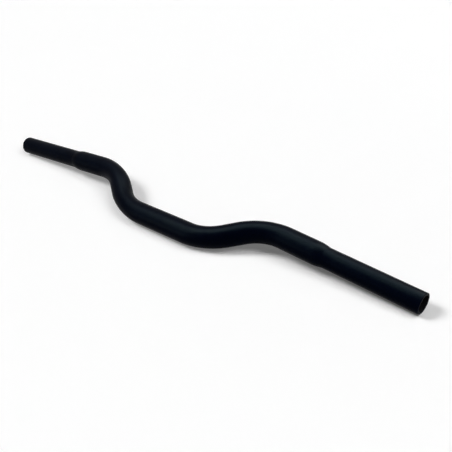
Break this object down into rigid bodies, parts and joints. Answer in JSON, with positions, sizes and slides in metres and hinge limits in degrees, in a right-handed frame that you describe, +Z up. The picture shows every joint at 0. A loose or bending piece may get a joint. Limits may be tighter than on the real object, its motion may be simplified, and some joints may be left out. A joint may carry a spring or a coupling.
{
  "type": "bicycle handlebar",
  "caption": "Low-rise bicycle handlebar bent from one round tube, stepped down to thinner open ends for the grips, in satin black.",
  "frame": {"origin": "middle of the bar's bounding box at floor level, the bar lying as it comes to rest", "axes": "+X along the clamp part and the bar's length, +Z up from the floor, +Y towards the open ends"},
  "size_m": [0.61, 0.0654, 0.0343],
  "materials": {
    "black_coat": "satin"
  },
  "bodies": {
    "root": {"handlebar": "black_coat"}
  },
  "joints": []
}
